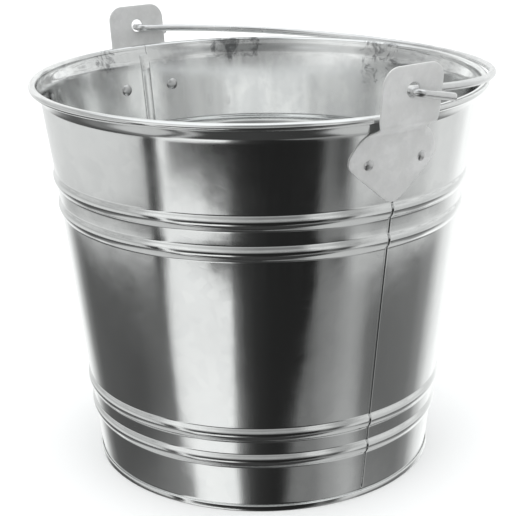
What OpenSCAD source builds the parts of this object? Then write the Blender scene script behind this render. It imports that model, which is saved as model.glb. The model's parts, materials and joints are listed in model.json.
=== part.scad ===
// Galvanised sheet-steel bucket with two riveted ears and a swinging wire bail.
// Millimetres. +Z up, origin at the centre of the base on the ground plane.
// The bail's pivot axis runs along X, through the two ears. The bail lies towards +Y.

/* [Body] */
// Height from the ground to the top of the rim
body_h = 264; // [200:1:320]
// Radius of the rim curl's centreline
rim_r = 150; // [120:1:180]
// Radius of the rim curl's section
curl_r = 2.5; // [2:0.1:4]
// Sheet thickness of the body and base
sheet_t = 0.6; // [0.4:0.1:1.2]
// Outer radius of the body just above the base seam
foot_r = 116.9; // [90:0.1:140]
// Outer radius of the body at the upper bead pair
mid_r = 136.8; // [110:0.1:160]
// Outer radius of the body under the rim's flare
neck_r = 144.8; // [115:0.1:170]
// Azimuth of the seam line at the +X ear
seam_az = -1.5; // [-6:0.1:6]
// Azimuth of the seam line at the -X ear
seam_far = 180.2; // [174:0.1:186]
// Width of the seam's inner fold, in degrees
seam_w = 2.9; // [2:0.1:5]

/* [Beads] */
// Heights of the four rolled beads
bead_z = [37.5, 56.5, 181.5, 201];
// Half height of a bead
bead_hh = 4.5; // [3:0.1:8]
// How far a bead stands out of the wall
bead_out = 1.8; // [0.5:0.1:3]

/* [Base] */
// Outer radius of the base seam ring
base_r = 118; // [100:0.5:140]
// Height of the base seam ring
chime_h = 4; // [3:0.5:8]
// Height of the floor's top face
floor_z = 5.6; // [3:0.1:15]

/* [Ears] */
// Plate thickness
ear_t = 1.2; // [0.8:0.1:2.5]
// Distance from the axis to the inner face of the ear's tab
tab_x = 152.9; // [140:0.1:175]
// Half width of the tab
tab_hw = 22.8; // [15:0.5:30]
// Height of the tab above the rim
tab_h = 28.5; // [20:0.5:40]
// Corner radius of the tab
tab_c = 10.5; // [3:0.5:14]
// Outward lean of the tab
tab_lean = 7; // [0:0.5:12]
// Height of the hole's centre above the rim
hole_h = 13.6; // [9:0.1:18]
// Radius of the hole
hole_r = 4.6; // [3:0.1:6]
// Offset of both ears from the body's centre plane, along Y
ear_y = -2.2; // [-4:0.1:4]
// Depth of the rivets below the rim
rivet_d = 31; // [20:0.5:45]
// Half spacing of an ear's rivets
rivet_s = 20; // [10:0.5:30]

/* [Rivets] */
// Shank radius
shank_r = 2.0; // [1:0.1:3]
// Outer head radius
head_r = 3.2; // [2:0.1:5]
// Outer head height
head_h = 1.5; // [0.8:0.1:3]
// Inner head radius
clinch_r = 4.2; // [3:0.1:6]
// Inner head height
clinch_h = 1.8; // [0.8:0.1:3]

/* [Bail] */
// Wire radius
wire_r = 2.5; // [1.5:0.1:4]
// Half distance between the bail's arms
arm_x = 150.2; // [140:0.1:170]
// Reach of the bail from its pivot to its crown
bail_len = 157.8; // [120:0.1:200]
// Height of the pivot above the rim
pivot_h = 12.4; // [8:0.1:20]
// Angle of the resting bail below level
rest_tilt = 4.8; // [0:0.05:15]
// Length of the hooked end outside the ear
hook_len = 24; // [10:1:45]
// Droop of the hooked end below the bail's plane
hook_droop = 7.4; // [0:0.1:20]

/* [Hidden] */
$fn = 120;

curl_z = body_h - curl_r;             // height of the curl's centre
curl_in = rim_r - curl_r;             // innermost radius of the curl
mid_z = 191;                          // height where the wall's slope steepens
neck_z = 252;                         // height where the wall flares into the curl
foot_z = 5;                           // height where the upright foot turns into the wall
wall_slope = (neck_r - mid_r) / (neck_z - mid_z);
wall_tilt = atan(wall_slope);
bead_rr = (bead_hh * bead_hh + bead_out * bead_out) / (2 * bead_out);
seam_gap = 0.03;                      // half the angle left open at a seam line
foot_in = foot_r - sheet_t;
pivot_z = body_h + pivot_h;
tab_z = body_h - 7;                   // height where the tab leaves the web
hook_x = tab_x + ear_t + (body_h + tab_h - tab_z) * tan(tab_lean) + 0.3 + wire_r;
bend_r = 4.8;                         // radius of the two bends at each end of the bail
crown_y = bail_len - arm_x;
steel = [0.72, 0.73, 0.74];
ear_steel = [0.66, 0.67, 0.68];
wire_steel = [0.78, 0.78, 0.78];

// Outer radius of the wall at a height
function wall_r(z) =
    z <= foot_z ? foot_r :
    z <= mid_z ? foot_r + (mid_r - foot_r) * (z - foot_z) / (mid_z - foot_z) :
    z <= neck_z ? mid_r + wall_slope * (z - mid_z) :
    neck_r + (curl_in + sheet_t - neck_r) * (z - neck_z) / (curl_z - neck_z);

// Section of one body panel: foot, wall with its beads, flare and curl
module panel_section() {
    difference() {
        union() {
            polygon([[60, 0.9], [foot_r, 0.9], [foot_r, foot_z], [mid_r, mid_z], [neck_r, neck_z],
                     [curl_in + sheet_t, curl_z], [60, curl_z]]);
            for (z = bead_z) translate([wall_r(z) + bead_out - bead_rr, z]) circle(r = bead_rr);
        }
        polygon([[50, 0], [foot_r - sheet_t, 0], [foot_r - sheet_t, foot_z], [mid_r - sheet_t, mid_z],
                 [neck_r - sheet_t, neck_z], [curl_in, curl_z], [curl_in, curl_z + 10], [50, curl_z + 10]]);
        for (z = bead_z) translate([wall_r(z) + bead_out - bead_rr, z]) circle(r = bead_rr - sheet_t);
    }
    translate([rim_r, curl_z]) difference() {
        circle(r = curl_r, $fn = 48);
        circle(r = curl_r - sheet_t, $fn = 48);
    }
}

// Section of the fold that carries one panel behind the other, from an outer offset inwards
module fold_section(d) {
    z0 = 8;
    z1 = neck_z;
    polygon([[wall_r(z0) - sheet_t + d, z0], [wall_r(mid_z) - sheet_t + d, mid_z], [wall_r(z1) - sheet_t + d, z1],
             [wall_r(z1) - sheet_t - 1.25, z1], [wall_r(mid_z) - sheet_t - 1.25, mid_z], [wall_r(z0) - sheet_t - 1.25, z0]]);
}

// A rivet's place: on the wall at an azimuth, its axis square to the wall
module at_rivet(az) {
    z = body_h - rivet_d;
    rotate([0, 0, az]) translate([wall_r(z), 0, z]) rotate([0, 90 + wall_tilt, 0]) children();
}
rivet_az = asin(rivet_s / wall_r(body_h - rivet_d));
ear_az = asin(ear_y / wall_r(body_h - rivet_d));

// One half of the body, running anticlockwise from one seam to the other
module panel(a0, a1) {
    difference() {
        union() {
            rotate_extrude(start = a0 + seam_gap, angle = a1 - a0 - 2 * seam_gap) panel_section();
            // fold at the far edge, running behind the other panel
            rotate_extrude(start = a1 - 0.3, angle = seam_w) fold_section(-0.05);
            rotate_extrude(start = a1 - 0.3, angle = 0.3 - seam_gap) fold_section(0.3);
        }
        for (a = [ear_az + rivet_az, ear_az - rivet_az, 180 - ear_az - rivet_az, 180 - ear_az + rivet_az])
            at_rivet(a) translate([0, 0, -5]) cylinder(r = shank_r + 0.05, h = 10, $fn = 48);
    }
}

module panel_front() color(steel) panel(seam_far, seam_az + 360);
module panel_back() color(steel) panel(seam_az, seam_far);

// Floor with its turned-down flange and the ring folded up round the body's foot
module base_pan() color(steel) rotate_extrude() polygon([
    [0, floor_z - sheet_t], [foot_in - 0.1 - sheet_t - 0.4, floor_z - sheet_t], [foot_in - 0.1 - sheet_t, floor_z - sheet_t - 0.4],
    [foot_in - 0.1 - sheet_t, 0.5], [foot_in - 0.1 - sheet_t + 0.5, 0], [base_r - 0.5, 0], [base_r, 0.5], [base_r, chime_h - 0.3],
    [base_r - 0.3, chime_h], [foot_r + 0.1, chime_h], [foot_r + 0.1, 0.7], [foot_in - 0.1, 0.7],
    [foot_in - 0.1, floor_z - 0.4], [foot_in - 0.5, floor_z], [0, floor_z]]);

// Stiffening wire inside the curl
module rim_wire() color(wire_steel)
    rotate_extrude() translate([rim_r, curl_z]) circle(r = curl_r - sheet_t - 0.05, $fn = 32);

// Shield plate lying on the wall
module shield() {
    z0 = body_h - 60;
    z1 = 251.5;
    intersection() {
        rotate_extrude(start = -18, angle = 36) polygon([
            [wall_r(z0) + 0.05, z0], [wall_r(z0) + 0.05 + ear_t, z0], [wall_r(z1 + 0.3) + 0.05 + ear_t, z1 + 0.3], [wall_r(z1 + 0.3) + 0.05, z1 + 0.3]]);
        translate([120, 0, 0]) rotate([90, 0, 90]) linear_extrude(height = 40) union() {
            polygon([[-20.4, z1], [-22.6, z1 - 0.6], [-25.4, z1 - 2.4], [-28.2, body_h - 18], [-31.8, body_h - 24], [-31.4, body_h - 34.6], [-6, body_h - 55],
                     [6, body_h - 55], [31.4, body_h - 34.6], [31.8, body_h - 24], [28.2, body_h - 18], [25.4, z1 - 2.4], [22.6, z1 - 0.6], [20.4, z1]]);
            for (s = [-1, 1]) translate([s * 25.4, body_h - 28.6]) circle(r = 7.9, $fn = 64);
            translate([0, body_h - 48]) circle(r = 9, $fn = 64);
        }
    }
}

// Sloped web and the tab above it, which leans outwards and has rounded top corners and the bail's hole
module tab() {
    zt = body_h + tab_h;
    lean = (zt - tab_z) * tan(tab_lean);
    difference() {
        intersection() {
            translate([0, ear_y + 30, 0]) rotate([90, 0, 0]) linear_extrude(height = 60)
                polygon([[139, 249.6], [146.2, 249.6], [tab_x + ear_t, tab_z - 1.6], [tab_x + ear_t, tab_z + 0.1], [tab_x + ear_t + lean, zt + 0.1],
                         [tab_x + lean, zt + 0.1], [tab_x, tab_z + 0.1], [tab_x, tab_z - 1], [145.3, 251.7], [139, 251.7]]);
            translate([130, ear_y, 0]) rotate([90, 0, 90]) linear_extrude(height = 50) difference() {
                union() {
                    polygon([[-20.5, 249], [20.5, 249], [20.5, tab_z - 1.4], [tab_hw - 1, tab_z - 0.4], [tab_hw, tab_z + 3.5], [tab_hw, zt - tab_c],
                             [-tab_hw, zt - tab_c], [-tab_hw, tab_z + 3.5], [-tab_hw + 1, tab_z - 0.4], [-20.5, tab_z - 1.4]]);
                    translate([-tab_hw + tab_c, zt - tab_c - 0.5]) square([2 * (tab_hw - tab_c), tab_c + 0.5]);
                    for (s = [-1, 1]) translate([s * (tab_hw - tab_c), zt - tab_c]) circle(r = tab_c, $fn = 64);
                }
                translate([0, body_h + hole_h]) circle(r = hole_r, $fn = 64);
            }
        }
        rotate_extrude() polygon([[0, 240], [wall_r(240) + 0.05, 240], [wall_r(neck_z) + 0.05, neck_z], [curl_in + sheet_t + 0.05, curl_z], [0, curl_z]]);
    }
}

module ear() {
    tab();
    difference() {
        rotate([0, 0, ear_az]) shield();
        for (s = [-1, 1]) at_rivet(ear_az + s * rivet_az) translate([0, 0, -5]) cylinder(r = shank_r + 0.05, h = 10, $fn = 48);
    }
}
module ear_right() color(ear_steel) ear();
module ear_left() color(ear_steel) mirror([1, 0, 0]) ear();

// Domed head outside, shank, wider domed head inside
module rivet(az) color(ear_steel) at_rivet(az) {
    out0 = ear_t + 0.1;
    in0 = -sheet_t - 0.12;
    out_rr = (head_r * head_r + head_h * head_h) / (2 * head_h);
    in_rr = (clinch_r * clinch_r + clinch_h * clinch_h) / (2 * clinch_h);
    translate([0, 0, in0]) cylinder(r = shank_r, h = out0 - in0, $fn = 48);
    translate([0, 0, out0]) intersection() {
        cylinder(r = head_r + 1, h = head_h + 1, $fn = 48);
        translate([0, 0, head_h - out_rr]) sphere(r = out_rr, $fn = 48);
    }
    translate([0, 0, in0]) mirror([0, 0, 1]) intersection() {
        cylinder(r = clinch_r + 1, h = clinch_h + 1, $fn = 48);
        translate([0, 0, clinch_h - in_rr]) sphere(r = in_rr, $fn = 48);
    }
}
module rivet_right_front() rivet(ear_az - rivet_az);
module rivet_right_back() rivet(ear_az + rivet_az);
module rivet_left_front() rivet(180 - ear_az + rivet_az);
module rivet_left_back() rivet(180 - ear_az - rivet_az);

// Half of the bail's end: arm, bend, short length through the ear's hole, bend, and the hooked leg drooping out of the bail's plane
module bail_end() {
    translate([arm_x, bend_r, 0]) rotate([-90, 0, 0]) cylinder(r = wire_r, h = crown_y - bend_r, $fn = 36);
    translate([arm_x + bend_r, bend_r, 0]) rotate_extrude(start = 180, angle = 90, $fn = 64) translate([bend_r, 0]) circle(r = wire_r, $fn = 36);
    translate([arm_x + bend_r - 0.3, 0, 0]) rotate([0, 90, 0]) cylinder(r = wire_r + 0.04, h = hook_x - arm_x - 2 * bend_r + 0.6, $fn = 36);
    rotate([-hook_droop, 0, 0]) {
        translate([hook_x - bend_r, bend_r, 0]) rotate_extrude(start = 270, angle = 90, $fn = 64) translate([bend_r, 0]) circle(r = wire_r, $fn = 36);
        translate([hook_x, bend_r, 0]) rotate([-90, 0, 0]) cylinder(r = wire_r, h = hook_len - 0.5, $fn = 36);
        translate([hook_x, bend_r + hook_len - 0.5, 0]) rotate([-90, 0, 0]) cylinder(r1 = wire_r, r2 = wire_r - 0.5, h = 0.5, $fn = 36);
    }
}
module bail() color(wire_steel) translate([0, ear_y, pivot_z]) rotate([-rest_tilt, 0, 0]) {
    translate([0, crown_y, 0]) rotate_extrude(start = 0, angle = 180) translate([arm_x, 0]) circle(r = wire_r, $fn = 36);
    bail_end();
    mirror([1, 0, 0]) bail_end();
}

panel_front();
panel_back();
base_pan();
rim_wire();
ear_right();
ear_left();
rivet_right_front();
rivet_right_back();
rivet_left_front();
rivet_left_back();
bail();
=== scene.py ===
import json
import math
import bpy
import bmesh
import numpy as np
from mathutils import Matrix, Vector, noise
from mathutils.geometry import delaunay_2d_cdt

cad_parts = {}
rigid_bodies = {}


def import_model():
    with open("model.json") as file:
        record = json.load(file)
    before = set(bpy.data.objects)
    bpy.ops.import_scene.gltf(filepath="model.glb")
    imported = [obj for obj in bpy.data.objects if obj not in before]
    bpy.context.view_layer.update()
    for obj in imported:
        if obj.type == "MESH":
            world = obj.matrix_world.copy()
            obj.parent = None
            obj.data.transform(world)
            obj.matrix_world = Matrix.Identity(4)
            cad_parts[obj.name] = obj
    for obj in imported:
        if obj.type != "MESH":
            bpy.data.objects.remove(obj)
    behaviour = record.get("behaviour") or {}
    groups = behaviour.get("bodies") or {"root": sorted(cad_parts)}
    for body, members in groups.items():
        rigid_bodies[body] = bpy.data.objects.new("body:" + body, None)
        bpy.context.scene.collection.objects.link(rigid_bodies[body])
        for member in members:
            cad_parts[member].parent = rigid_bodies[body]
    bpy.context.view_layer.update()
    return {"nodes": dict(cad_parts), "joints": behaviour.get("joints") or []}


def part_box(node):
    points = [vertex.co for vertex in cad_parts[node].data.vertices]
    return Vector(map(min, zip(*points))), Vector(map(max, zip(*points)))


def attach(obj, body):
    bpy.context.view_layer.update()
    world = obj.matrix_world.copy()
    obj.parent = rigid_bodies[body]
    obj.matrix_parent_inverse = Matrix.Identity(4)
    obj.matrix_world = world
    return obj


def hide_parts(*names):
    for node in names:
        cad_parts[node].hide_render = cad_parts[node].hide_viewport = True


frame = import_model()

MM = 0.001
rad = math.radians

# ---------------------------------------------------------------- sizes, taken from the frame
def size_mm(node):
    lo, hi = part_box(node)
    return np.array(lo) / MM, np.array(hi) / MM

p_lo, p_hi = size_mm("panel_front")
b_lo, b_hi = size_mm("base_pan")
w_lo, w_hi = size_mm("rim_wire")
e_lo, e_hi = size_mm("ear_right")
a_lo, a_hi = size_mm("bail")

BODY_H = p_hi[2]                        # top of the rim
CURL_R = BODY_H - (w_lo[2] + w_hi[2]) / 2
CURL_Z = BODY_H - CURL_R
RIM_R = -p_lo[1] - CURL_R               # centreline of the curl
SHEET = 0.6
FOOT_R, MID_R, NECK_R = 116.9, 136.8, 144.8
FOOT_Z, MID_Z, NECK_Z = 5.0, 191.0, 252.0
BEADS = (37.5, 56.5, 181.5, 201.0)
BEAD_HH, BEAD_OUT = 4.5, 1.8
BASE_R = b_hi[0]
CHIME_H = 4.0
FLOOR_Z = b_hi[2]
SEAM_AZ = -1.5                          # azimuth of the seam at the +X ear
SEAM_FAR = 180.2                        # and at the -X ear
SEAM_W = 2.9
EAR_T = 1.19
TAB_X = 152.9
TAB_Z = BODY_H - 7
TAB_HW, TAB_C, TAB_LEAN = 22.8, 10.5, rad(7)
TAB_TOP = e_hi[2]
HOLE_Z = BODY_H + 13.6
HOLE_R = 4.6
RIVET_Z = BODY_H - 31
SLOPE = (NECK_R - MID_R) / (NECK_Z - MID_Z)
TILT = math.atan(SLOPE)
joint = frame["joints"][0]
EAR_Y = joint["pos_m"][1] / MM          # the ears and the bail sit a little to one side of the body's axis
PIVOT_Z = joint["pos_m"][2] / MM
WIRE_R = 2.5
ARM_X = 150.2
HOOK_X = a_hi[0] - WIRE_R - 0.02
BEND_R = 4.8
REST = rad(4.8)
BAIL_LEN = 157.8
CROWN_Y = BAIL_LEN - ARM_X
HOOK_LEN = 24.0
DROOP = rad(7.4)


def wall_r(z):
    """Outer radius of the plain wall, with the slope change at MID_Z eased over a few mm."""
    z = np.asarray(z, float)
    low = FOOT_R + (MID_R - FOOT_R) * (z - FOOT_Z) / (MID_Z - FOOT_Z)
    high = MID_R + SLOPE * (z - MID_Z)
    k = 0.12
    h = np.clip(0.5 + 0.5 * (high - low) / k, 0, 1)
    r = low * (1 - h) + high * h + k * h * (1 - h)
    return np.where(z < FOOT_Z, FOOT_R, r)


def bead(z):
    """How far the rolled beads stand out at a height, with a small fillet at each foot."""
    z = np.asarray(z, float)
    rr = (BEAD_HH ** 2 + BEAD_OUT ** 2) / (2 * BEAD_OUT)
    out = np.zeros_like(z)
    for zc in BEADS:
        d = z - zc
        cap = np.sqrt(np.maximum(rr ** 2 - np.minimum(np.abs(d), rr) ** 2, 0)) - (rr - BEAD_OUT)
        cap = np.where(np.abs(d) > 2 * BEAD_HH, -3.0, cap)
        k = 0.75
        h = np.clip(0.5 + 0.5 * cap / k, 0, 1)
        out = np.maximum(out, cap * h + k * h * (1 - h))
    return np.minimum(out, BEAD_OUT)


# ---------------------------------------------------------------- mesh helpers
def make(name, verts, faces, node=None, body="pail", sharp=40, scale=MM):
    me = bpy.data.meshes.new(name)
    me.from_pydata([tuple(np.asarray(v, float) * scale) for v in verts], [], faces)
    me.validate()
    bm = bmesh.new()
    bm.from_mesh(me)
    bmesh.ops.recalc_face_normals(bm, faces=bm.faces)
    bm.to_mesh(me)
    bm.free()
    ob = bpy.data.objects.new(name, me)
    bpy.context.scene.collection.objects.link(ob)
    me.polygons.foreach_set("use_smooth", [True] * len(me.polygons))
    me.set_sharp_from_angle(angle=rad(sharp))
    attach(ob, body)
    if node:
        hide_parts(*([node] if isinstance(node, str) else node))
    return ob


def lathe(profile, n=144, start=0.0, sweep=360.0):
    """Revolves a closed loop of (r, z) points. Points with r = 0 are shared."""
    full = abs(sweep - 360.0) < 1e-6
    verts, rings = [], []
    steps = n if full else n + 1
    for i in range(steps):
        a = rad(start + sweep * i / n)
        ring = []
        for j, (r, z) in enumerate(profile):
            if r < 1e-9 and i > 0:
                ring.append(rings[0][j])
            else:
                ring.append(len(verts))
                verts.append((r * math.cos(a), r * math.sin(a), z))
        rings.append(ring)
    faces = []
    m = len(profile)
    for i in range(n):
        a, b = rings[i], rings[(i + 1) % steps]
        for j in range(m):
            q = [a[j], b[j], b[(j + 1) % m], a[(j + 1) % m]]
            u = []
            for v in q:
                if v not in u:
                    u.append(v)
            if len(u) > 2:
                faces.append(u)
    return verts, faces


def tube(path, radius, seg=28, end_round=0.5):
    """Round wire along a list of points, with slightly rounded cut ends."""
    P = np.array(path, float)
    n = len(P)
    T = np.gradient(P, axis=0)
    T /= np.linalg.norm(T, axis=1)[:, None]
    up = np.array([0, 0, 1.0]) if abs(T[0][2]) < 0.9 else np.array([1.0, 0, 0])
    N = np.cross(T[0], np.cross(up, T[0])); N /= np.linalg.norm(N)
    frames = []
    for i in range(n):
        N = N - T[i] * (N @ T[i]); N /= np.linalg.norm(N)
        frames.append((N.copy(), np.cross(T[i], N)))
    rings = []
    for k, (off, s) in enumerate([(0, 0.0), (0, 0.55), (0.12, 0.82), (0.5, 1.0)]):
        rings.append((P[0] + T[0] * off * end_round, frames[0], s))
    for i in range(1, n - 1):
        rings.append((P[i], frames[i], 1.0))
    for k, (off, s) in enumerate([(0.5, 1.0), (0.12, 0.82), (0, 0.55), (0, 0.0)]):
        rings.append((P[-1] - T[-1] * off * end_round, frames[-1], s))
    verts, faces, idx = [], [], []
    for c, (a, b), s in rings:
        if s == 0:
            idx.append([len(verts)] * seg)
            verts.append(c)
            continue
        row = []
        for j in range(seg):
            t = 2 * math.pi * j / seg
            row.append(len(verts))
            verts.append(c + (a * math.cos(t) + b * math.sin(t)) * radius * s)
        idx.append(row)
    for i in range(len(idx) - 1):
        for j in range(seg):
            q = [idx[i][j], idx[i][(j + 1) % seg], idx[i + 1][(j + 1) % seg], idx[i + 1][j]]
            u = []
            for v in q:
                if v not in u:
                    u.append(v)
            if len(u) > 2:
                faces.append(u)
    return verts, faces


# ---------------------------------------------------------------- body panels
def panel_path():
    """Middle line of the sheet: foot, wall with beads, flare, and the curl round the rim wire."""
    zs = [1.0, 2.0, 3.2, 4.4, FOOT_Z, 5.8, 7.0, 9.0]
    z = 13.0
    near = lambda v: any(abs(v - b) < BEAD_HH + 2.2 for b in BEADS)
    while z < NECK_Z:
        zs.append(z)
        z += 0.5 if near(z) else (1.0 if any(abs(v - z) < BEAD_HH + 4.5 for v in BEADS) else 4.0)
    zs = np.array(zs)
    r = wall_r(zs) + bead(zs) - SHEET / 2
    pts = [(a, b) for a, b in zip(r, zs)]
    r0, z0 = float(wall_r(NECK_Z)) - SHEET / 2, NECK_Z
    r1, z1 = RIM_R - CURL_R + SHEET / 2, CURL_Z
    h = z1 - z0
    for t in np.linspace(0, 1, 10):
        h00, h10, h01 = 2 * t ** 3 - 3 * t ** 2 + 1, t ** 3 - 2 * t ** 2 + t, -2 * t ** 3 + 3 * t ** 2
        pts.append((h00 * r0 + h10 * SLOPE * h + h01 * r1, z0 + t * h))
    rc = CURL_R - SHEET / 2
    for a in np.arange(170, -143, -10.0):
        pts.append((RIM_R + rc * math.cos(rad(a)), CURL_Z + rc * math.sin(rad(a))))
    return np.array(pts)


PATH = panel_path()
tan = np.gradient(PATH, axis=0)
tan /= np.linalg.norm(tan, axis=1)[:, None]
NRM = np.stack([tan[:, 1], -tan[:, 0]], 1)      # points away from the axis on the wall


def wobble(a, z):
    """Slight unevenness of hand-rolled sheet, in mm, dying out at the rim and the foot."""
    ca, sa = math.cos(a), math.sin(a)
    f = min(1.0, max(0.0, (z - 8) / 30.0)) * min(1.0, max(0.0, (CURL_Z - 6 - z) / 22.0))
    w = 0.18 * noise.noise(Vector((ca * 2.1, sa * 2.1, z / 95.0)))
    w += 0.08 * noise.noise(Vector((ca * 5.0 + 7, sa * 5.0, z / 42.0)))
    w += 0.025 * noise.noise(Vector((ca * 14.0, sa * 14.0 + 3, z / 16.0)))
    return w * f


def lean(d, z):
    """The near seam isn't quite upright: azimuth shift in degrees, fading out away from the seam."""
    off = abs((d - SEAM_AZ + 180) % 360 - 180)
    w = max(0.0, 1 - off / 45.0)
    return (-0.7 + 1.5 * min(z, 206.0) / 206.0) * w * w * (3 - 2 * w)


def panel(name, az0, az1, node):
    gap = 0.06
    deg = [0, 0.05, 0.1, 0.16, 0.24, 0.34, 0.48, 0.68, 0.95]
    deg += list(np.arange(1.5, 178.51, 1.5))
    deg = np.array(sorted(deg + [180 - d for d in deg[:9]]))
    deg = az0 + gap + deg * (az1 - az0 - 2 * gap) / 180
    m = len(PATH)
    verts, idx = [], []
    for d in deg:
        from_start = (d - az0 - gap) * math.pi / 180 * 130    # mm along the wall from each edge
        from_end = (az1 - gap - d) * math.pi / 180 * 130
        sink = 0.5 * math.exp(-(from_start / 0.5) ** 2) + 0.42 * math.exp(-(from_end / 0.5) ** 2)
        lift = 0.14 * math.exp(-((from_start - 1.5) / 1.1) ** 2)
        row = []
        for side in (1, -1):
            order = range(m) if side > 0 else range(m - 1, -1, -1)
            for j in order:
                r, z = PATH[j]
                a = rad(d + lean(d, z))
                on_wall = 1.0 if z < NECK_Z else max(0.0, 1 - (z - NECK_Z) / 6.0)
                if j > m - 30:
                    on_wall = 0.0
                rr = r + NRM[j][0] * side * SHEET / 2 + (wobble(a, z) + (lift - sink) * (1 if side > 0 else 0.6)) * on_wall
                if z < 6:
                    rr = r + NRM[j][0] * side * SHEET / 2
                zz = z + NRM[j][1] * side * SHEET / 2
                row.append(len(verts))
                verts.append((rr * math.cos(a), rr * math.sin(a), zz))
        idx.append(row)
    faces = []
    k = 2 * m
    for i in range(len(idx) - 1):
        for j in range(k):
            faces.append((idx[i][j], idx[i + 1][j], idx[i + 1][(j + 1) % k], idx[i][(j + 1) % k]))
    for row in (idx[0], idx[-1]):
        for j in range(m - 1):
            faces.append((row[j], row[j + 1], row[k - 2 - j], row[k - 1 - j]))
    # inner fold of the lock seam, at the far edge of this panel
    zs = [8.5] + list(np.arange(12, NECK_Z - 1, 6.0)) + [NECK_Z + 1.5, NECK_Z + 5]
    a0 = az1 - 0.25
    prof = [(0.0, 0.25), (0.0, -0.45), (0.05, -0.8), (0.12, -0.98), (0.28, -1.08), (1.4, -1.12), (2.6, -1.08),
            (SEAM_W - 0.14, -0.98), (SEAM_W - 0.05, -0.8), (SEAM_W, -0.45), (SEAM_W, 0.25)]
    base = len(verts)
    rows = []
    for n_, z in enumerate(zs):
        if z <= NECK_Z:
            ri = float(wall_r(z)) - SHEET
        else:
            ri = float(np.interp(z, PATH[:, 1][:m - 31], PATH[:, 0][:m - 31])) - SHEET / 2
        ease = 0.55 if n_ in (0, len(zs) - 1) else 1.0
        row = []
        for da, dr in prof:
            a = rad(a0 + da + lean(a0 + da, z))
            rr = ri + (dr * ease if dr < 0 else dr) + wobble(a, z)
            row.append(len(verts))
            verts.append((rr * math.cos(a), rr * math.sin(a), z))
        rows.append(row)
    for i in range(len(rows) - 1):
        for j in range(len(prof)):
            jj = (j + 1) % len(prof)
            faces.append((rows[i][j], rows[i + 1][j], rows[i + 1][jj], rows[i][jj]))
    faces.append(tuple(rows[0]))
    faces.append(tuple(reversed(rows[-1])))
    return make(name, verts, faces, node=node, sharp=35)


front = panel("body_front", SEAM_FAR, SEAM_AZ + 360, "panel_front")
back = panel("body_back", SEAM_AZ, SEAM_FAR, "panel_back")

# ---------------------------------------------------------------- base pan
def arc(cx, cz, r, a0, a1, n):
    return [(cx + r * math.cos(rad(a)), cz + r * math.sin(rad(a))) for a in np.linspace(a0, a1, n)]


FIN = FOOT_R - SHEET                      # inner face of the foot
pan = []
pan += [(0, FLOOR_Z), (40, FLOOR_Z), (80, FLOOR_Z), (96, FLOOR_Z)]
pan += [(98, FLOOR_Z - 0.15), (99.5, FLOOR_Z - 0.7), (101, FLOOR_Z - 0.95), (106, FLOOR_Z - 0.95), (107.5, FLOOR_Z - 0.7), (109, FLOOR_Z - 0.15), (111, FLOOR_Z)]
pan += arc(FIN - 0.1 - 0.9, FLOOR_Z - 0.9, 0.9, 90, 0, 6)
pan += [(FIN - 0.1, 1.2), (FIN, 0.75), (FOOT_R + 0.02, 0.75), (FOOT_R + 0.1, 1.2), (FOOT_R + 0.1, CHIME_H - 0.5)]
pan += arc(BASE_R - 0.52, CHIME_H - 0.5, 0.48, 175, 0, 8)
pan += [(BASE_R, 3.0), (BASE_R, 1.6)]
pan += arc(BASE_R - 0.75, 0.75, 0.75, 0, -90, 8)
pan += [(BASE_R - 1.3, 0.0)]
pan += arc(FIN - 0.7 + 0.75, 0.75, 0.75, -90, -180, 8)
pan += [(FIN - 0.7, 2.0), (FIN - 0.7, FLOOR_Z - 1.5), (FIN - 1.0, FLOOR_Z - 0.9), (FIN - 1.6, FLOOR_Z - SHEET)]
pan += [(111, FLOOR_Z - SHEET), (109, FLOOR_Z - 0.75), (107.5, FLOOR_Z - 1.3), (106, FLOOR_Z - 1.55), (101, FLOOR_Z - 1.55),
        (99.5, FLOOR_Z - 1.3), (98, FLOOR_Z - 0.75), (96, FLOOR_Z - SHEET), (80, FLOOR_Z - SHEET), (40, FLOOR_Z - SHEET), (0, FLOOR_Z - SHEET)]
v, f = lathe(pan, n=180)
base = make("base", v, f, node="base_pan", sharp=50)

# ---------------------------------------------------------------- ears
def ear_path():
    """Middle line of the ear plate in the XZ plane, from the tab's top down: tab, bend, web, bend, shield."""
    h = EAR_T / 2
    corner = [(TAB_X + h + (TAB_TOP - TAB_Z) * math.tan(TAB_LEAN), TAB_TOP), (TAB_X + h, TAB_Z - 0.6)]
    zs = 251.0
    corner.append((float(wall_r(zs)) + 0.05 + h, zs))
    z = zs
    while z > BODY_H - 60:
        z -= 2.0
        corner.append((float(wall_r(z)) + 0.05 + h, z))
    C = np.array(corner)
    d = np.concatenate([[0], np.cumsum(np.linalg.norm(np.diff(C, axis=0), axis=1))])
    q = np.arange(0, d[-1], 0.25)
    P = np.stack([np.interp(q, d, C[:, 0]), np.interp(q, d, C[:, 1])], 1)
    for _ in range(14):                       # rounds the two bends to about 2 mm
        P[1:-1] = 0.25 * P[:-2] + 0.5 * P[1:-1] + 0.25 * P[2:]
    return P


EP = ear_path()
ES = np.concatenate([[0], np.cumsum(np.linalg.norm(np.diff(EP, axis=0), axis=1))])


def s_of_z(z):
    return float(np.interp(-z, -EP[:, 1], ES))


S_TABB, S_SH = s_of_z(TAB_Z), s_of_z(251.5)


def ear_map(u, s):
    x = float(np.interp(s, ES, EP[:, 0])); z = float(np.interp(s, ES, EP[:, 1]))
    w = min(1.0, max(0.0, (s - S_TABB) / (S_SH - S_TABB)))
    w = w * w * (3 - 2 * w)
    a = (u + EAR_Y) / x
    flat = np.array([x, u + EAR_Y, z])
    bent = np.array([x * math.cos(a), x * math.sin(a), z])
    return flat * (1 - w) + bent * w


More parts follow.
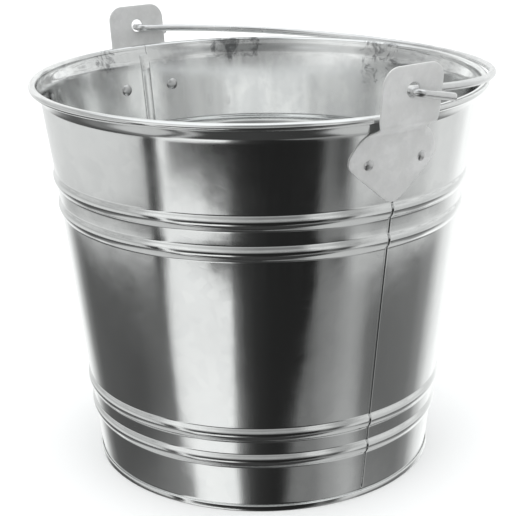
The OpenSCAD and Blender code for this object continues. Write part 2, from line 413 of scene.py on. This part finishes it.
def ear_pt(u, s, h):
    """Point of the plate at a distance h outside its middle surface."""
    e = 0.05
    s_ = min(max(s, e), ES[-1] - e)
    pu = ear_map(u + e, s_) - ear_map(u - e, s_)
    ps = ear_map(u, s_ + e) - ear_map(u, s_ - e)
    n = np.cross(ps, pu)
    n /= np.linalg.norm(n)
    if n[0] < 0:
        n = -n
    return ear_map(u, s) + n * h


def ear_outline():
    """Half outline in (u, s), from the top middle down one side to the tip."""
    pts = [(0, TAB_TOP), (TAB_HW - TAB_C, TAB_TOP)]
    for a in np.linspace(90, 0, 16)[1:]:
        pts.append((TAB_HW - TAB_C + TAB_C * math.cos(rad(a)), TAB_TOP - TAB_C + TAB_C * math.sin(rad(a))))
    pts += [(TAB_HW, 272.0), (TAB_HW, TAB_Z + 3.5), (TAB_HW - 0.9, TAB_Z - 0.3), (20.7, TAB_Z - 1.6), (20.4, 254.0), (20.5, 252.2), (21.2, 251.4), (22.8, 250.8), (25.4, 249.0), (28.2, 246), (31.0, 241.8)]
    for a in np.linspace(38, -36, 10):
        pts.append((25.4 + 7.9 * math.cos(rad(a)), 235.4 + 7.9 * math.sin(rad(a))))
    pts += [(26.2, 225.3), (19.8, 220.1), (13.4, 215.0), (9.0, 211.4), (6.6, 209.6), (4.2, 208.2), (2.0, 207.2), (0, 207.0)]
    P = np.array([(u, s_of_z(z)) for u, z in pts], float)
    d = np.concatenate([[0], np.cumsum(np.linalg.norm(np.diff(P, axis=0), axis=1))])
    q = np.linspace(0, d[-1], int(d[-1] / 0.8))
    R = np.stack([np.interp(q, d, P[:, 0]), np.interp(q, d, P[:, 1])], 1)
    for _ in range(3):
        R[1:-1] = 0.25 * R[:-2] + 0.5 * R[1:-1] + 0.25 * R[2:]
    return R


def inside(poly, p):
    x, y = p
    c = False
    n = len(poly)
    j = n - 1
    for i in range(n):
        xi, yi = poly[i]; xj, yj = poly[j]
        if (yi > y) != (yj > y) and x < (xj - xi) * (y - yi) / (yj - yi) + xi:
            c = not c
        j = i
    return c


def offset_loop(L, d):
    """Moves a closed loop inwards by d (the loop's inside is found from its signed area)."""
    nxt, prv = np.roll(L, -1, axis=0), np.roll(L, 1, axis=0)
    t = nxt - prv
    t /= np.linalg.norm(t, axis=1)[:, None]
    area = 0.5 * np.sum(L[:, 0] * nxt[:, 1] - nxt[:, 0] * L[:, 1])
    n = np.stack([-t[:, 1], t[:, 0]], 1) * (1 if area > 0 else -1)
    return L + n * d


def ear(name, node, mirror):
    R = ear_outline()
    loop = np.concatenate([R, (R * [-1, 1])[::-1][1:-1]])
    s_hole = s_of_z(HOLE_Z)
    E = 0.34                                   # edge rounding
    hole_at = lambda rr, n, ph=0.0: np.array([(rr * math.cos(t), s_hole + rr * math.sin(t)) for t in np.linspace(ph, 2 * math.pi + ph, n, endpoint=False)])
    inner = offset_loop(loop, E)
    holein = hole_at(HOLE_R + E, 48)
    ring2 = hole_at(HOLE_R + E + 0.9, 40, 0.08)
    grid = []
    for k, v_ in enumerate(np.arange(1.0, ES[-1], 1.3)):
        off = 0.65 if k % 2 else 0.0
        for u in np.arange(-36 + off, 36, 1.3):
            if not inside(inner, (u, v_)):
                continue
            if np.min(np.hypot(inner[:, 0] - u, inner[:, 1] - v_)) < 0.75 or math.hypot(u, v_ - s_hole) < HOLE_R + E + 1.5:
                continue
            grid.append((u, v_))
    pts = list(map(tuple, inner)) + list(map(tuple, holein)) + list(map(tuple, ring2)) + grid
    nl, nh = len(inner), len(holein)
    edges = [(i, (i + 1) % nl) for i in range(nl)] + [(nl + i, nl + (i + 1) % nh) for i in range(nh)]
    res = delaunay_2d_cdt([Vector(p) for p in pts], edges, [], 0, 1e-7)
    v2, f2, orig = res[0], res[2], res[3]
    back_of = {}
    for i, o in enumerate(orig):
        for k in o:
            back_of[k] = i
    tri = []
    for t in f2:
        c = sum((Vector(v2[i]) for i in t), Vector((0, 0))) / len(t)
        ab, ac = Vector(v2[t[1]]) - Vector(v2[t[0]]), Vector(v2[t[2]]) - Vector(v2[t[0]])
        if abs(ab.x * ac.y - ab.y * ac.x) < 1e-3:      # flat triangles between points on one straight edge
            continue
        if inside(inner, c) and not inside(holein, c):
            tri.append(tuple(t))
    H = EAR_T / 2
    n2 = len(v2)
    verts = [ear_pt(p[0], p[1], H) for p in v2] + [ear_pt(p[0], p[1], -H) for p in v2]
    faces = [t for t in tri] + [tuple(n2 + i for i in reversed(t)) for t in tri]
    prof = [(E * (1 - math.sin(rad(f))), H - E * (1 - math.cos(rad(f)))) for f in (30, 60, 90)]
    prof += [(d, -h) for d, h in reversed(prof)]
    for first, loop_in, base_i in ((loop, inner, 0), (hole_at(HOLE_R, 48), holein, nl)):
        m = len(loop_in)
        rings = [[back_of[base_i + i] for i in range(m)]]
        for d, h in prof:
            row = []
            for i in range(m):
                q = first[i] + (loop_in[i] - first[i]) * (d / E)
                row.append(len(verts))
                verts.append(ear_pt(q[0], q[1], h))
            rings.append(row)
        rings.append([n2 + back_of[base_i + i] for i in range(m)])
        for a, b in zip(rings[:-1], rings[1:]):
            for i in range(m):
                faces.append((a[i], a[(i + 1) % m], b[(i + 1) % m], b[i]))
    sx = -1 if mirror else 1
    verts = [(p[0] * sx, p[1], min(p[2], TAB_TOP - 0.005)) for p in verts]
    return make(name, verts, faces, node=node, sharp=60)


ear_near = ear("ear_right_plate", "ear_right", False)
ear_far = ear("ear_left_plate", "ear_left", True)

# ---------------------------------------------------------------- rivets
def rivet(name, node, az, seed):
    rv = np.random.default_rng(seed)
    out0, in0 = EAR_T + 0.1, -SHEET - 0.12
    prof = [(0, out0 + 1.5), (0.8, out0 + 1.47), (1.6, out0 + 1.32), (2.2, out0 + 1.08), (2.7, out0 + 0.74), (3.05, out0 + 0.34), (3.2, out0 + 0.06), (3.16, out0 - 0.05),
            (2.0, out0 - 0.05), (2.0, in0 + 0.05), (4.1, in0 + 0.05), (4.2, in0 - 0.08), (4.02, in0 - 0.5), (3.55, in0 - 0.95), (2.8, in0 - 1.36), (1.9, in0 - 1.63), (0.9, in0 - 1.76), (0, in0 - 1.8)]
    n = 40
    verts, faces = lathe(prof, n=n)
    V = np.array(verts, float)
    # hammered, slightly off-round heads
    ph = rv.uniform(0, 6.28, 4)
    t = np.arctan2(V[:, 1], V[:, 0])
    r = np.hypot(V[:, 0], V[:, 1])
    k = 1 + 0.025 * np.sin(2 * t + ph[0]) + 0.018 * np.sin(3 * t + ph[1])
    big = (r > 2.1)
    V[big, 0] *= k[big]; V[big, 1] *= k[big]
    top = V[:, 2] > out0 + 0.2
    V[top, 2] += 0.10 * np.sin(V[top, 0] * 1.1 + ph[2]) * np.sin(V[top, 1] * 1.1 + ph[3])
    bot = V[:, 2] < in0 - 0.2
    V[bot, 2] += 0.12 * np.sin(V[bot, 0] * 0.9 + ph[3]) * np.sin(V[bot, 1] * 0.9 + ph[2])
    zr = RIVET_Z
    M = Matrix.Rotation(rad(az), 4, "Z") @ Matrix.Translation((float(wall_r(zr)), 0, zr)) @ Matrix.Rotation(math.pi / 2 + TILT, 4, "Y")
    verts = [tuple(M @ Vector(p)) for p in V]
    return make(name, verts, faces, node=node, sharp=60)


RIV_AZ = math.degrees(math.asin(20.0 / float(wall_r(RIVET_Z))))
EAR_AZ = math.degrees(math.asin(EAR_Y / float(wall_r(RIVET_Z))))
rivet("rivet_rf", "rivet_right_front", EAR_AZ - RIV_AZ, 1)
rivet("rivet_rb", "rivet_right_back", EAR_AZ + RIV_AZ, 2)
rivet("rivet_lf", "rivet_left_front", 180 - EAR_AZ + RIV_AZ, 3)
rivet("rivet_lb", "rivet_left_back", 180 - EAR_AZ - RIV_AZ, 4)

# ---------------------------------------------------------------- bail
def bail_path():
    """Centreline of the wire: hooked leg, bend, through the hole, bend, arm, crown, and the same back again."""
    cd, sd = math.cos(DROOP), math.sin(DROOP)
    tip = lambda x, y: (x, y * cd, -y * sd)
    right = [tip(HOOK_X, BEND_R + HOOK_LEN - k) for k in np.linspace(0, HOOK_LEN, 16)]
    right += [tip(HOOK_X - BEND_R + BEND_R * math.cos(t), BEND_R + BEND_R * math.sin(t)) for t in np.linspace(0, -math.pi / 2, 13)[1:]]
    right += [((HOOK_X + ARM_X) / 2, 0, 0)]
    right += [(ARM_X + BEND_R + BEND_R * math.cos(t), BEND_R + BEND_R * math.sin(t), 0) for t in np.linspace(-math.pi / 2, -math.pi, 13)]
    right += [(ARM_X, y, 0) for y in np.linspace(BEND_R, CROWN_Y, 4)[1:]]
    ry = ARM_X - 0.06
    crown = [(ARM_X * math.cos(t), CROWN_Y + ry * math.sin(t), 0) for t in np.linspace(0, math.pi, 130)[1:-1]]
    left = [(-x, y, z) for x, y, z in reversed(right)]
    pts = np.array(right + crown + left, float)
    c, s = math.cos(-REST), math.sin(-REST)
    return np.stack([pts[:, 0], pts[:, 1] * c - pts[:, 2] * s + EAR_Y, pts[:, 1] * s + pts[:, 2] * c + PIVOT_Z], 1)


v, f = tube(bail_path(), WIRE_R, seg=32, end_round=0.9)
bail = make("bail_wire", v, f, node="bail", body="bail", sharp=60)

# ---------------------------------------------------------------- materials
class G:
    """Small helper that writes node graphs as expressions."""
    def __init__(self, tree):
        self.t = tree
        self.n = tree.nodes
        self.l = tree.links

    def add(self, kind, **props):
        nd = self.n.new(kind)
        for k, v in props.items():
            setattr(nd, k, v)
        return nd

    def put(self, sock, v):
        if isinstance(v, bpy.types.NodeSocket):
            self.l.new(v, sock)
        elif v is not None:
            sock.default_value = v

    def math(self, op, a, b=None, c=None, clamp=False):
        nd = self.add("ShaderNodeMath", operation=op, use_clamp=clamp)
        for i, v in enumerate((a, b, c)):
            if v is not None:
                self.put(nd.inputs[i], v)
        return nd.outputs[0]

    def mix(self, f, a, b):
        """Float mix."""
        nd = self.add("ShaderNodeMix", data_type="FLOAT")
        self.put(nd.inputs[0], f); self.put(nd.inputs[2], a); self.put(nd.inputs[3], b)
        return nd.outputs[0]

    def mixc(self, f, a, b, blend="MIX"):
        nd = self.add("ShaderNodeMix", data_type="RGBA", blend_type=blend)
        self.put(nd.inputs[0], f); self.put(nd.inputs[6], a); self.put(nd.inputs[7], b)
        return nd.outputs[2]

    def ramp(self, f, stops, interp="LINEAR"):
        nd = self.add("ShaderNodeValToRGB")
        cr = nd.color_ramp
        cr.interpolation = interp
        while len(cr.elements) > 1:
            cr.elements.remove(cr.elements[-1])
        cr.elements[0].position = stops[0][0]
        for i, (p, v) in enumerate(stops):
            e = cr.elements[0] if i == 0 else cr.elements.new(p)
            col = v if isinstance(v, (tuple, list)) else (v, v, v)
            e.color = (*col, 1)
        self.put(nd.inputs[0], f)
        return nd.outputs[0]

    def smooth(self, v, lo, hi):
        nd = self.add("ShaderNodeMapRange", interpolation_type="SMOOTHSTEP")
        self.put(nd.inputs[0], v); self.put(nd.inputs[1], lo); self.put(nd.inputs[2], hi)
        nd.inputs[3].default_value = 0; nd.inputs[4].default_value = 1
        return nd.outputs[0]

    def noise(self, vec, scale, detail=2.0, rough=0.5, dist=0.0):
        nd = self.add("ShaderNodeTexNoise")
        self.put(nd.inputs["Vector"], vec)
        nd.inputs["Scale"].default_value = scale
        nd.inputs["Detail"].default_value = detail
        nd.inputs["Roughness"].default_value = rough
        nd.inputs["Distortion"].default_value = dist
        return nd.outputs[0]

    def voronoi(self, vec, scale, feature="F1", out=0, rnd=1.0):
        nd = self.add("ShaderNodeTexVoronoi", feature=feature)
        self.put(nd.inputs["Vector"], vec)
        nd.inputs["Scale"].default_value = scale
        nd.inputs["Randomness"].default_value = rnd
        return nd.outputs[out]

    def mapping(self, vec, scale=(1, 1, 1), rot=(0, 0, 0), loc=(0, 0, 0)):
        nd = self.add("ShaderNodeMapping")
        self.put(nd.inputs[0], vec)
        nd.inputs[1].default_value = loc
        nd.inputs[2].default_value = rot
        nd.inputs[3].default_value = scale
        return nd.outputs[0]

    def bump(self, h, strength, distance, normal=None):
        nd = self.add("ShaderNodeBump")
        nd.inputs["Strength"].default_value = strength
        nd.inputs["Distance"].default_value = distance
        self.put(nd.inputs["Height"], h)
        if normal is not None:
            self.put(nd.inputs["Normal"], normal)
        return nd.outputs[0]


def new_material(name):
    m = bpy.data.materials.new(name)
    m.use_nodes = True
    g = G(m.node_tree)
    bsdf = next(n for n in m.node_tree.nodes if n.type == "BSDF_PRINCIPLED")
    tc = g.add("ShaderNodeTexCoord")
    return m, g, bsdf, tc.outputs["Object"]


def sheet_material():
    m, g, b, co = new_material("galvanised_sheet")
    warp = g.noise(co, 14.0, 2.0)
    # zinc crystals: patches about 7 mm across, barely darker or brighter than each other
    cell = g.voronoi(co, 135.0, out=1)
    sep = g.add("ShaderNodeSeparateColor"); g.put(sep.inputs[0], cell)
    tone = sep.outputs[0]
    cloud = g.noise(co, 9.0, 4.0, 0.55)
    fine = g.noise(g.mapping(co, (1, 1, 0.12)), 420.0, 3.0, 0.6)
    smear = g.noise(g.mapping(co, (1.0, 1.0, 0.35)), 26.0, 3.0, 0.6, 0.6)
    # darker mottled patches in three places high up on the inside, and a fainter darker mottling over the whole inside
    xyz = g.add("ShaderNodeSeparateXYZ"); g.put(xyz.inputs[0], co)
    px, py, pz = xyz.outputs
    geo = g.add("ShaderNodeNewGeometry")
    nv = g.add("ShaderNodeSeparateXYZ"); g.put(nv.inputs[0], geo.outputs["Normal"])
    inward = g.smooth(g.math("ADD", g.math("MULTIPLY", nv.outputs[0], px), g.math("MULTIPLY", nv.outputs[1], py)), -0.02, -0.06)
    azim = g.math("WRAP", g.math("MULTIPLY", g.math("ARCTAN2", py, px), 180 / math.pi), 360.0, 0.0)
    pz_mm = g.math("MULTIPLY", pz, 1000.0)

    def patch(mid_az, half, z_lo, z_hi, amount):
        side = g.smooth(g.math("ABSOLUTE", g.math("SUBTRACT", azim, mid_az)), half, half * 0.45)
        return g.math("MULTIPLY", g.math("MULTIPLY", side, g.smooth(pz_mm, z_lo, z_hi)), amount)

    spots = g.math("MAXIMUM", patch(152.0, 11.5, 241.0, 253.0, 1.0), g.math("MAXIMUM", patch(105.5, 11.0, 216.0, 246.0, 0.9), patch(195.5, 6.5, 236.0, 252.0, 0.8)))
    flake = g.noise(co, 100.0, 6.0, 0.66, 0.8)
    dark_patches = g.math("MULTIPLY", inward, g.smooth(g.math("ADD", flake, g.math("MULTIPLY", g.math("SUBTRACT", spots, 1.0), 0.35)), 0.40, 0.60))
    faint = g.math("MULTIPLY", inward, g.smooth(g.noise(g.mapping(co, (1, 1, 0.7)), 36.0, 5.0, 0.66), 0.48, 0.62))
    col = g.mixc(g.math("MULTIPLY", tone, 0.22), (0.87, 0.875, 0.87, 1), (0.76, 0.77, 0.78, 1))
    col = g.mixc(g.math("MULTIPLY", g.smooth(cloud, 0.42, 0.72), 0.22), col, (0.78, 0.785, 0.78, 1))
    col = g.mixc(g.math("MULTIPLY", faint, 0.24), col, (0.56, 0.57, 0.585, 1))
    col = g.mixc(g.math("MULTIPLY", dark_patches, 0.80), col, (0.20, 0.205, 0.21, 1))
    g.put(b.inputs["Base Color"], col)
    b.inputs["Metallic"].default_value = 1.0
    rough = g.math("ADD", 0.075, g.math("MULTIPLY", g.smooth(cloud, 0.35, 0.75), 0.06))
    rough = g.math("ADD", rough, g.math("MULTIPLY", tone, 0.018))
    rough = g.math("ADD", rough, g.math("MULTIPLY", g.smooth(smear, 0.5, 0.8), 0.03))
    g.put(b.inputs["Roughness"], rough)
    h = g.math("ADD", g.math("MULTIPLY", cloud, 1.0), g.math("MULTIPLY", warp, 0.4))
    n1 = g.bump(h, 0.05, 0.004)
    n2 = g.bump(g.math("ADD", g.math("MULTIPLY", tone, 0.12), g.math("MULTIPLY", fine, 0.5)), 0.035, 0.0006, n1)
    g.put(b.inputs["Normal"], n2)
    return m


def plate_material():
    m, g, b, co = new_material("ear_plate")
    cloud = g.noise(co, 55.0, 4.0, 0.6)
    grain = g.noise(co, 900.0, 3.0, 0.6)
    cell = g.voronoi(co, 260.0, out=1)
    sep = g.add("ShaderNodeSeparateColor"); g.put(sep.inputs[0], cell)
    scr = g.noise(g.mapping(co, (1, 0.08, 1.4), (0.3, 0, 0.2)), 700.0, 2.0, 0.5)
    col = g.mixc(g.smooth(cloud, 0.35, 0.7), (0.74, 0.74, 0.735, 1), (0.84, 0.84, 0.838, 1))
    col = g.mixc(g.math("MULTIPLY", sep.outputs[0], 0.2), col, (0.62, 0.625, 0.63, 1))
    g.put(b.inputs["Base Color"], col)
    b.inputs["Metallic"].default_value = 0.62
    r = g.math("ADD", 0.40, g.math("MULTIPLY", cloud, 0.16))
    r = g.math("ADD", r, g.math("MULTIPLY", g.smooth(scr, 0.6, 0.8), -0.06))
    g.put(b.inputs["Roughness"], r)
    n1 = g.bump(cloud, 0.22, 0.0014)
    n2 = g.bump(grain, 0.10, 0.0002, n1)
    g.put(b.inputs["Normal"], n2)
    return m


def wire_material(name, col0, col1, rough):
    m, g, b, co = new_material(name)
    cloud = g.noise(co, 60.0, 3.0, 0.55)
    drawn = g.noise(co, 1500.0, 2.0, 0.6)
    g.put(b.inputs["Base Color"], g.mixc(g.smooth(cloud, 0.3, 0.7), (*col0, 1), (*col1, 1)))
    b.inputs["Metallic"].default_value = 1.0
    g.put(b.inputs["Roughness"], g.math("ADD", rough, g.math("MULTIPLY", cloud, 0.12)))
    n1 = g.bump(cloud, 0.08, 0.0006)
    g.put(b.inputs["Normal"], g.bump(drawn, 0.05, 0.0001, n1))
    return m


MAT = {
    "galvanised_sheet": sheet_material(),
    "ear_plate": plate_material(),
    "rivet": wire_material("rivet", (0.66, 0.66, 0.66), (0.82, 0.82, 0.82), 0.30),
    "bail_wire": wire_material("bail_wire", (0.74, 0.745, 0.75), (0.84, 0.84, 0.84), 0.2),
    "rim_wire": wire_material("rim_wire", (0.5, 0.5, 0.5), (0.6, 0.6, 0.6), 0.4),
}


def dress(ob, slot):
    ob.data.materials.clear()
    ob.data.materials.append(MAT[slot])


for ob in (front, back, base):
    dress(ob, "galvanised_sheet")
for ob in (ear_near, ear_far):
    dress(ob, "ear_plate")
for n_ in ("rivet_rf", "rivet_rb", "rivet_lf", "rivet_lb"):
    dress(bpy.data.objects[n_], "rivet")
dress(bail, "bail_wire")
rw = frame["nodes"]["rim_wire"]
if len(rw.material_slots):
    for s in rw.material_slots:
        s.material = MAT["rim_wire"]
else:
    rw.data.materials.append(MAT["rim_wire"])

# ---------------------------------------------------------------- floor
me = bpy.data.meshes.new("floor")
S = 40.0
me.from_pydata([(-S, -S, 0), (S, -S, 0), (S, S, 0), (-S, S, 0)], [], [(0, 1, 2, 3)])
floor = bpy.data.objects.new("floor", me)
bpy.context.scene.collection.objects.link(floor)
fm = bpy.data.materials.new("floor")
fm.use_nodes = True
g = G(fm.node_tree)
fb = next(n for n in fm.node_tree.nodes if n.type == "BSDF_PRINCIPLED")
tc = g.add("ShaderNodeTexCoord")
g.put(fb.inputs["Base Color"], g.mixc(g.noise(tc.outputs["Object"], 3.0, 2.0), (0.93, 0.93, 0.93, 1), (0.95, 0.95, 0.95, 1)))
fb.inputs["Roughness"].default_value = 0.9
fb.inputs["Specular IOR Level"].default_value = 0.0
me.materials.append(fm)
floor.visible_glossy = False

# ---------------------------------------------------------------- studio surroundings
CAM_AZ = -35.15                          # the side the camera stands on
world = bpy.data.worlds.new("studio")
bpy.context.scene.world = world
world.use_nodes = True
wt = world.node_tree
for n_ in list(wt.nodes):
    wt.nodes.remove(n_)
g = G(wt)
out = g.add("ShaderNodeOutputWorld")
tc = g.add("ShaderNodeTexCoord")
sep = g.add("ShaderNodeSeparateXYZ")
g.put(sep.inputs[0], tc.outputs["Generated"])
dx, dy, dz = sep.outputs
az = g.math("MULTIPLY", g.math("ARCTAN2", dy, dx), 180 / math.pi)
th = g.math("WRAP", g.math("SUBTRACT", az, CAM_AZ), 180.0, -180.0)
el = g.math("MULTIPLY", g.math("ARCSINE", dz), 180 / math.pi)
nz = g.noise(tc.outputs["Generated"], 7.0, 4.0, 0.65)
jit = g.math("MULTIPLY", g.math("SUBTRACT", nz, 0.5), 1.0)
th01 = g.math("DIVIDE", g.math("ADD", th, 180.0), 360.0)
pos = lambda d: (d + 180.0) / 360.0
low = [(-180, .95), (-155, .85), (-146, .50), (-138, .20), (-130, .10), (-118, .085), (-98, .07), (-85, .065), (-70, .10), (-61.5, .12), (-58, .72), (-50, .80), (-15, .80), (-9, .10),
       (24, .10), (30, .10), (36, .17), (45, .22), (50, .27), (57, .31), (63, .27), (69, .14), (76, .115), (95, .13), (108, .15), (120, .24), (128, .50), (135, .72), (150, .95), (180, .95)]
upp = [(-180, .95), (-150, .70), (-140, .66), (-120, .65), (-105, .63), (-90, .62), (-75, .59), (-66.5, .52), (-64, .04), (-57.5, .04), (-55, .80), (-22, .80),
       (26, .76), (34, .12), (38, .13), (42, .09), (45, .055), (48, .08), (52, .34), (55.5, .58), (64, .58), (80, .52), (100, .54), (110, .66), (125, .66), (135, .76), (145, .95), (180, .95)]
mid = [(-180, .90), (-145, .80), (-136, .55), (-124, .44), (-101, .38), (-80, .36), (-68, .38), (-60, .60), (-42, .62), (-30, .48), (-8, .24), (0, .19), (22, .19),
       (28, .48), (38, .50), (46, .36), (54, .38), (62, .52), (75, .56), (99, .60), (122, .64), (134, .80), (180, .90)]
band = [(-180, 1.0), (-145, .98), (-136, .66), (-124, .62), (-101, .56), (-80, .52), (-68, .56), (-60, .90), (-42, .92), (-30, .76), (-12, .44), (0, .38), (22, .38),
        (28, .74), (38, .72), (46, .40), (54, .40), (62, .64), (75, .68), (99, .74), (122, .78), (134, .98), (180, 1.0)]
low_th = g.math("SUBTRACT", th, g.math("MULTIPLY", 8.0, g.smooth(el, -36.0, -39.5)))
low01 = g.math("DIVIDE", g.math("ADD", low_th, 180.0), 360.0)
L_low = g.mixc(g.smooth(el, -33.0, -39.0), g.ramp(low01, [(pos(a), v) for a, v in low]), (0.09, 0.09, 0.09, 1), "ADD")
L_upp = g.ramp(th01, [(pos(a), v) for a, v in upp])
L_mid = g.ramp(th01, [(pos(a), v) for a, v in mid])
L_band = g.ramp(th01, [(pos(a), v) for a, v in band])
# dark side of the room ahead of the bucket, its left edge leaning over, with a mottled fade above
edge = g.math("SUBTRACT", -18.0, g.math("MULTIPLY", 8.0, g.math("MINIMUM", g.math("MAXIMUM", g.math("ADD", el, 32.0), 0.0), 4.0)))
dist = g.math("SUBTRACT", g.math("ADD", th, g.math("MULTIPLY", jit, g.math("ADD", 2.0, g.math("MULTIPLY", 10.0, g.smooth(el, -32.0, -30.0))))), edge)
dark_l = g.smooth(dist, -2.5, 2.5)
edge_r = g.math("ADD", 35.0, g.math("MULTIPLY", 1.7, g.math("MINIMUM", g.math("ADD", el, 30.0), 0.0)))
dark_r = g.smooth(g.math("SUBTRACT", th, edge_r), 2.5, -2.5)
dark = g.math("MULTIPLY", dark_l, dark_r)
dist01 = g.math("DIVIDE", dist, 60.0)
tone_up = g.ramp(dist01, [(0, .17), (.08, .085), (.20, .046), (.32, .032), (.45, .022), (.56, .017), (1.0, .014)])
tone_lo = g.ramp(dist01, [(0, .22), (.06, .14), (.13, .050), (.23, .026), (.40, .017), (1.0, .013)])
mott = g.noise(g.mapping(tc.outputs["Generated"], (1, 1, 2.2)), 26.0, 4.0, 0.7)
tone_up = g.mixc(1.0, tone_up, g.ramp(mott, [(.30, .55), (.52, 1.0), (.70, 1.7)]), "MULTIPLY")
dcol = g.mixc(g.smooth(el, -32.2, -30.6), tone_lo, tone_up)
el_b = g.math("ADD", -31.0, g.math("MULTIPLY", 13.0, g.math("POWER", g.math("DIVIDE", g.math("ABSOLUTE", th), 150.0), 2.2)))
w_up = g.smooth(g.math("SUBTRACT", el, el_b), -0.8, 0.8)
L = g.mixc(w_up, L_low, L_upp)
L = g.mixc(dark, L, dcol)
# a dim strip along the horizon, a pale wall above it, and a ceiling with a large soft light
L = g.mixc(g.smooth(el, -14.0, 0.0), L, L_mid)
blot = g.ramp(g.noise(g.mapping(tc.outputs["Generated"], (1, 1, 1.6)), 13.0, 4.0, 0.66), [(.36, .50), (.46, .86), (.56, 1.0)])
spot = g.math("MULTIPLY", g.smooth(g.math("ABSOLUTE", g.math("SUBTRACT", th, 17.0)), 16.0, 8.0), g.smooth(el, 9.0, 5.5))
L_band = g.mixc(1.0, L_band, blot, "MULTIPLY")
L_band = g.mixc(spot, L_band, g.ramp(mott, [(.34, .03), (.50, .22), (.62, .60)]))
L = g.mixc(g.smooth(el, -4.0, 5.0), L, L_band)
L = g.mixc(g.smooth(el, 20.0, 30.0), L, L_mid)
ceil = g.ramp(g.math("DIVIDE", el, 90.0), [(0.0, .40), (0.42, .50), (0.52, .85), (0.62, 1.0), (1.0, 1.0)])
tint = g.ramp(g.math("DIVIDE", el, 90.0), [(0.0, (.97, .98, 1.0)), (1.0, (.98, .99, 1.0))])
ceil = g.mixc(1.0, ceil, tint, "MULTIPLY")
front_dim = g.math("MULTIPLY", g.smooth(g.math("ABSOLUTE", g.math("SUBTRACT", th, 8.0)), 40.0, 22.0), g.smooth(el, 78.0, 66.0))
ceil = g.mixc(front_dim, ceil, (.20, .205, .205, 1))
L = g.mixc(g.smooth(el, 32.0, 46.0), L, ceil)
lean_out = g.ramp(th01, [(pos(-180), .60), (pos(-140), .55), (pos(-110), .52), (pos(-68), .48), (pos(-64), .06), (pos(-58), .06), (pos(-56), .45), (pos(-50), .40), (pos(-45), .05), (pos(42), .035),
                         (pos(50), .10), (pos(55), .45), (pos(64), .48), (pos(120), .50), (pos(150), .60), (pos(180), .60)])
L = g.mixc(g.smooth(el, -41.5, -47.0), L, lean_out)
down = g.smooth(el, -70.0, -80.0)
under = g.ramp(th01, [(pos(-180), .06), (pos(-150), .10), (pos(-120), .10), (pos(-90), .08), (pos(-70), .07), (pos(-56), .025), (pos(45), .03), (pos(65), .10), (pos(120), .30), (pos(150), .10), (pos(180), .06)])
L = g.mixc(down, L, under)
L = g.mixc(1.0, L, (0.985, 1.0, 0.995, 1), "MULTIPLY")
bg = g.add("ShaderNodeBackground"); g.put(bg.inputs[0], L); bg.inputs[1].default_value = 1.15
bgc = g.add("ShaderNodeBackground"); bgc.inputs[0].default_value = (1, 1, 1, 1); bgc.inputs[1].default_value = 1.0
lp = g.add("ShaderNodeLightPath")
mx = g.add("ShaderNodeMixShader")
g.put(mx.inputs[0], lp.outputs["Is Camera Ray"]); g.put(mx.inputs[1], bg.outputs[0]); g.put(mx.inputs[2], bgc.outputs[0])
g.put(out.inputs[0], mx.outputs[0])


def area(name, loc, target, size, power, seen=False):
    la = bpy.data.lights.new(name, "AREA")
    la.shape = "SQUARE"
    la.size = size
    la.energy = power
    ob = bpy.data.objects.new(name, la)
    bpy.context.scene.collection.objects.link(ob)
    ob.location = loc
    ob.rotation_mode = "QUATERNION"
    ob.rotation_quaternion = (Vector(target) - Vector(loc)).to_track_quat("-Z", "Y")
    ob.visible_glossy = seen
    return ob


area("top_softbox", (0.25, -0.2, 3.0), (0, 0, 0.05), 2.6, 26)
sun = bpy.data.lights.new("room_fill", "SUN")
sun.energy = 1.45
sun.angle = rad(110)
fill = bpy.data.objects.new("room_fill", sun)
bpy.context.scene.collection.objects.link(fill)
fill.rotation_mode = "QUATERNION"
fill.rotation_quaternion = Vector((-0.35, 0.25, -1.0)).to_track_quat("-Z", "Y")
fill.visible_glossy = False

# ---------------------------------------------------------------- camera
cam_data = bpy.data.cameras.new("camera")
cam = bpy.data.objects.new("camera", cam_data)
bpy.context.scene.collection.objects.link(cam)
cam_data.sensor_width = 36.0
cam_data.lens = 91.957
cam.location = Vector((0.714171, -0.502931, 0.429189))
Z = -Vector((-0.775909, 0.543297, -0.320613))
X = Vector((0.577498, 0.816265, -0.014382))
Y = Z.cross(X)
cam.rotation_mode = "QUATERNION"
cam.rotation_quaternion = Matrix((X, Y, Z)).transposed().to_quaternion()
cam_data.clip_start, cam_data.clip_end = 0.05, 100
bpy.context.scene.camera = cam

vs = bpy.context.scene.view_settings
vs.view_transform = "Standard"
vs.look = "None"
vs.exposure = 0.0
vs.gamma = 1.0
